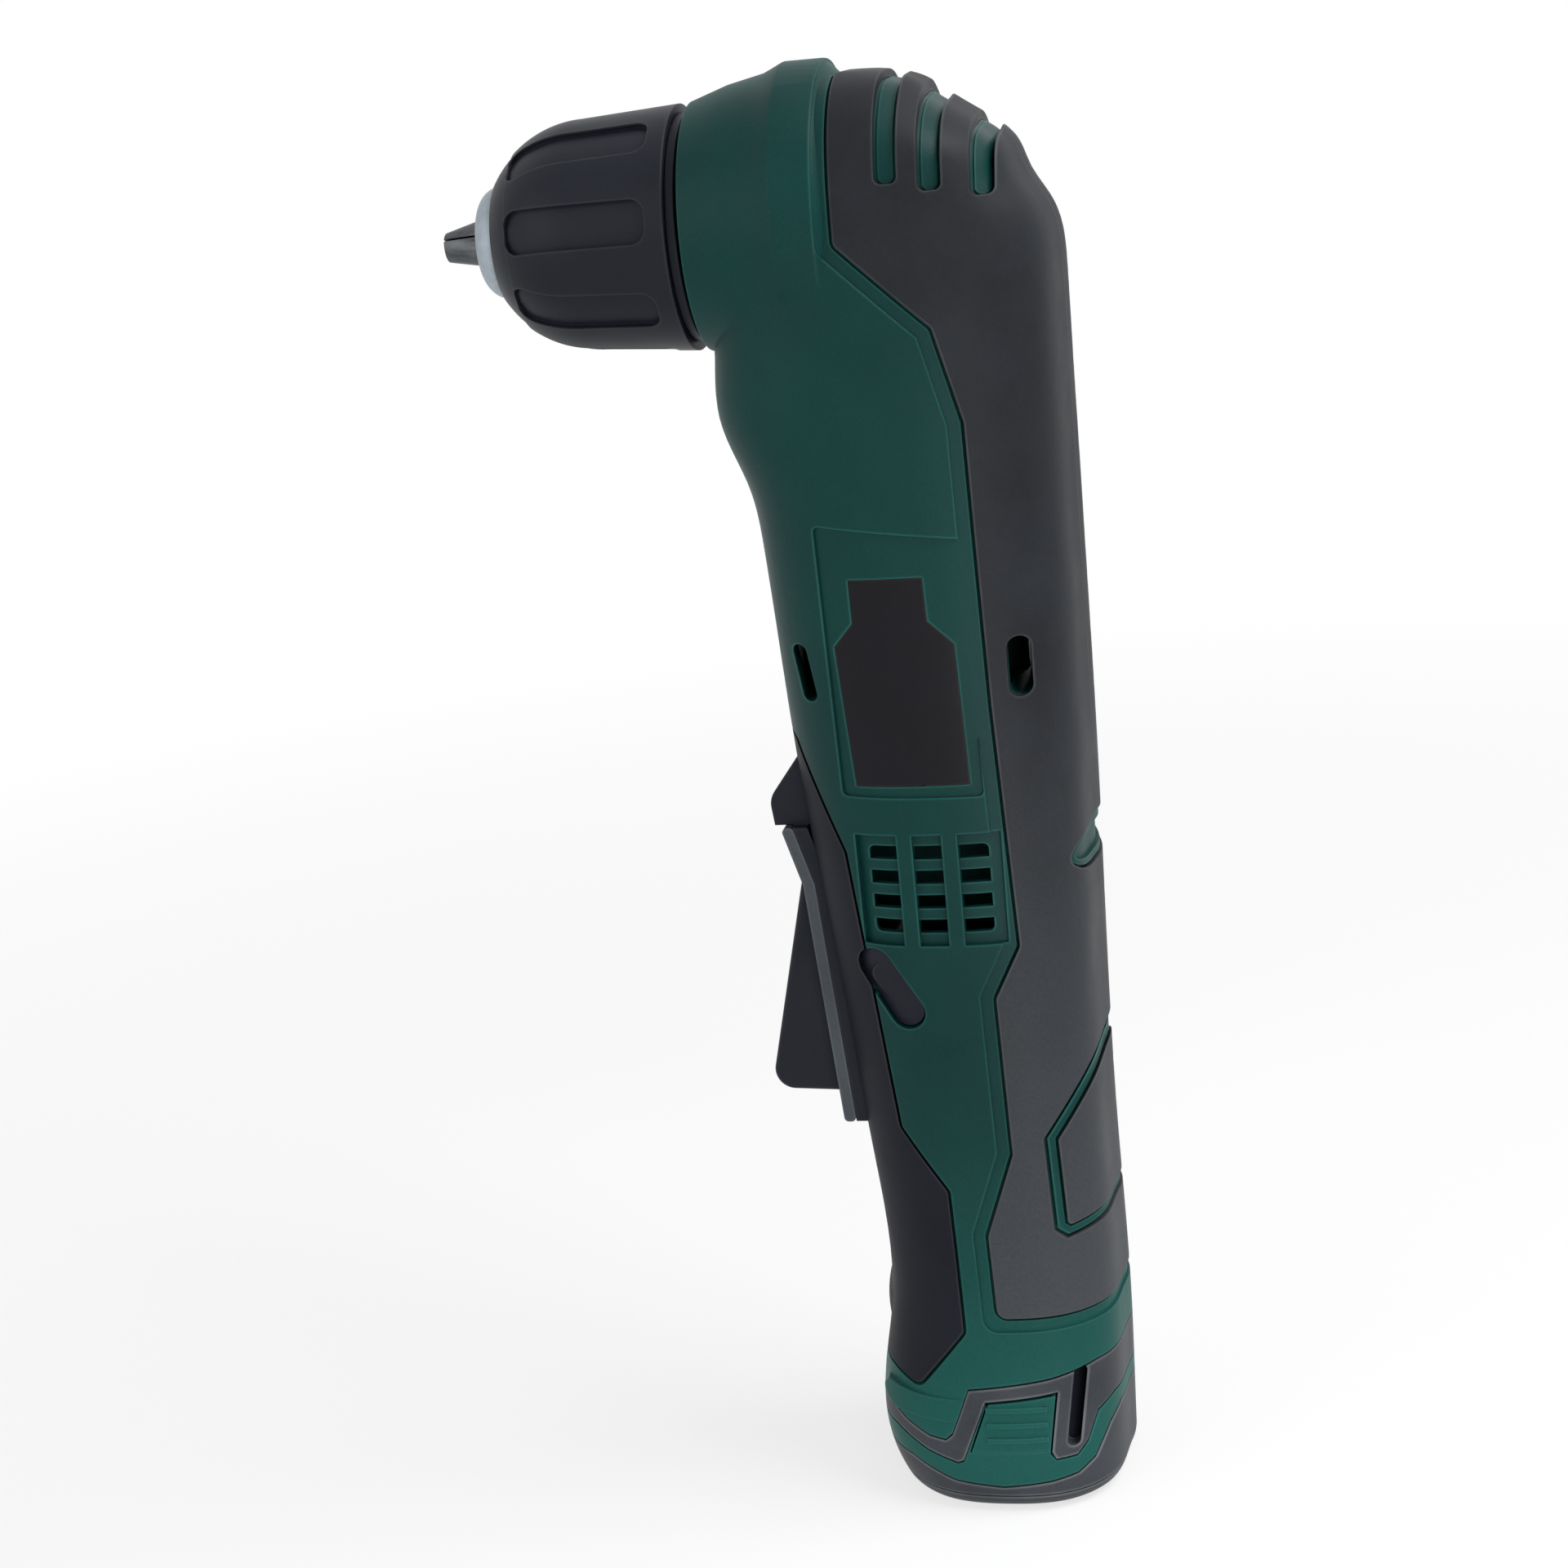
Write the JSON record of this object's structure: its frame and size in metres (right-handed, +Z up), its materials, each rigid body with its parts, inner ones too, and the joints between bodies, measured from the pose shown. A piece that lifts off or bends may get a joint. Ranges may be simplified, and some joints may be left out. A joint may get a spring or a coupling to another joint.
{
  "type": "right angle drill",
  "caption": "Battery right angle drill: a long soft-gripped handle with a paddle trigger, and a keyless chuck set square to it on a rounded head.",
  "frame": {"origin": "middle of the battery's flat base, on the handle's plane of symmetry", "axes": "+Z up the handle, chuck pointing towards -X, left half towards -Y"},
  "size_m": [0.1142, 0.0556, 0.2778],
  "materials": {
    "green_plastic": "satin moulded",
    "soft_grip": "matt soft-touch",
    "black_grip": "matt soft-touch",
    "black_plastic": "fine grained",
    "grey_plastic": "satin moulded",
    "dark_trim": "satin",
    "label_film": "bare dark film",
    "steel": "ground",
    "nose_metal": "satin",
    "die_casting": "as cast",
    "ferrite": "sintered",
    "copper_alloy": "bright",
    "lamp_resin": "clear resin",
    "lens_glass": "clear",
    "cell_can": "sleeved cell",
    "board": "laminate"
  },
  "bodies": {
    "tool": {"left_housing": "green_plastic", "right_housing": "green_plastic", "left_rear_grip": "soft_grip", "right_rear_grip": "soft_grip", "left_front_grip": "black_grip", "right_front_grip": "black_grip", "left_label": "label_film", "right_label": "label_film", "housing_screws": "steel", "lamp_block": "black_plastic", "lamp": "lamp_resin", "lamp_lens": "lens_glass", "trigger_bezel": "grey_plastic", "trigger_pin": "steel", "trigger_spring": "steel", "switch_body": "black_plastic", "terminal_block": "black_plastic", "motor_can": "steel", "motor_magnets": "ferrite", "motor_endbell": "black_plastic", "motor_brushes": "copper_alloy", "ring_gear": "steel", "pinion_bearing": "steel", "gear_case": "die_casting", "gear_cover": "die_casting", "cover_screws": "steel", "front_bearing": "steel", "rear_bearing": "steel"},
    "spindle": {"spindle": "steel", "bevel_gear": "steel", "chuck_body": "steel", "chuck_screw": "steel", "chuck_nose_ring": "nose_metal", "chuck_rear_ring": "black_plastic"},
    "sleeve": {"chuck_sleeve": "black_plastic", "chuck_nut": "steel"},
    "jaw_1": {"jaw_1": "steel"},
    "jaw_2": {"jaw_2": "steel"},
    "jaw_3": {"jaw_3": "steel"},
    "rotor": {"rotor_shaft": "steel", "rotor_core": "steel", "commutator": "copper_alloy", "motor_fan": "black_plastic", "sun_gear": "steel"},
    "carrier": {"planet_carrier": "steel", "bevel_pinion": "steel"},
    "planet_1": {"planet_gear_1": "steel"},
    "planet_2": {"planet_gear_2": "steel"},
    "planet_3": {"planet_gear_3": "steel"},
    "trigger": {"paddle_trigger": "black_plastic"},
    "plunger": {"switch_plunger": "black_plastic"},
    "direction": {"direction_slider": "black_plastic"},
    "battery": {"battery_stalk": "black_plastic", "battery_cells": "cell_can", "battery_contacts": "board", "battery_body": "green_plastic", "battery_trim": "dark_trim", "battery_base": "dark_trim"},
    "left_latch": {"left_latch": "green_plastic"},
    "right_latch": {"right_latch": "green_plastic"}
  },
  "joints": [
    {"name": "spindle_spin", "type": "hinge", "parent": "tool", "child": "spindle", "pos_m": [0, 0, 0.25], "axis": [1, 0, 0], "continuous": true},
    {"name": "sleeve_turn", "type": "hinge", "parent": "spindle", "child": "sleeve", "pos_m": [0, 0, 0.25], "axis": [1, 0, 0], "range_deg": [0, 2700]},
    {"name": "jaw_1_slide", "type": "slide", "parent": "spindle", "child": "jaw_1", "axis": [0.9632, 0, 0.2689], "range_m": [0, 0.0193]},
    {"name": "jaw_2_slide", "type": "slide", "parent": "spindle", "child": "jaw_2", "axis": [0.9632, -0.2329, -0.1345], "range_m": [0, 0.0193]},
    {"name": "jaw_3_slide", "type": "slide", "parent": "spindle", "child": "jaw_3", "axis": [0.9632, 0.2329, -0.1345], "range_m": [0, 0.0193]},
    {"name": "rotor_spin", "type": "hinge", "parent": "tool", "child": "rotor", "pos_m": [-0.0055, 0, 0.18], "axis": [0, 0, 1], "continuous": true},
    {"name": "carrier_spin", "type": "hinge", "parent": "tool", "child": "carrier", "pos_m": [-0.0055, 0, 0.22], "axis": [0, 0, 1], "continuous": true},
    {"name": "planet_1_spin", "type": "hinge", "parent": "carrier", "child": "planet_1", "pos_m": [0.00395, 0, 0.218], "axis": [0, 0, 1], "continuous": true},
    {"name": "planet_2_spin", "type": "hinge", "parent": "carrier", "child": "planet_2", "pos_m": [-0.01022, 0.00818, 0.218], "axis": [0, 0, 1], "continuous": true},
    {"name": "planet_3_spin", "type": "hinge", "parent": "carrier", "child": "planet_3", "pos_m": [-0.01022, -0.00818, 0.218], "axis": [0, 0, 1], "continuous": true},
    {"name": "trigger_swing", "type": "hinge", "parent": "tool", "child": "trigger", "pos_m": [-0.0255, 0, 0.1242], "axis": [0, -1, 0], "range_deg": [0, 8], "stiffness_Nm_per_rad": 0.2, "springref_deg": -8.59, "deforming": ["trigger_spring"]},
    {"name": "plunger_slide", "type": "slide", "parent": "tool", "child": "plunger", "axis": [1, 0, 0], "range_m": [0, 0.00481]},
    {"name": "direction_slide", "type": "slide", "parent": "tool", "child": "direction", "axis": [0, 1, 0], "range_m": [-0.0025, 0.0025]},
    {"name": "battery_pull", "type": "slide", "parent": "tool", "child": "battery", "axis": [0, 0, -1], "range_m": [0, 0.08]},
    {"name": "left_latch_press", "type": "slide", "parent": "battery", "child": "left_latch", "axis": [0, 1, 0], "range_m": [0, 0.0016], "stiffness_N_per_m": 600, "springref_m": -0.0003},
    {"name": "right_latch_press", "type": "slide", "parent": "battery", "child": "right_latch", "axis": [0, -1, 0], "range_m": [0, 0.0016], "stiffness_N_per_m": 600, "springref_m": -0.0003}
  ],
  "couplings": [
    {"joint": "rotor_spin", "follows": "spindle_spin", "ratio": -13.5},
    {"joint": "carrier_spin", "follows": "spindle_spin", "ratio": -3},
    {"joint": "trigger_swing", "follows": "plunger_slide", "rad_per_m": 28.986},
    {"joint": "sleeve_turn", "follows": "jaw_1_slide", "rad_per_m": 2441.7},
    {"joint": "jaw_2_slide", "follows": "jaw_1_slide", "ratio": 1},
    {"joint": "jaw_3_slide", "follows": "jaw_1_slide", "ratio": 1},
    {"joint": "planet_1_spin", "follows": "spindle_spin", "ratio": 8.4},
    {"joint": "planet_2_spin", "follows": "spindle_spin", "ratio": 8.4},
    {"joint": "planet_3_spin", "follows": "spindle_spin", "ratio": 8.4}
  ]
}
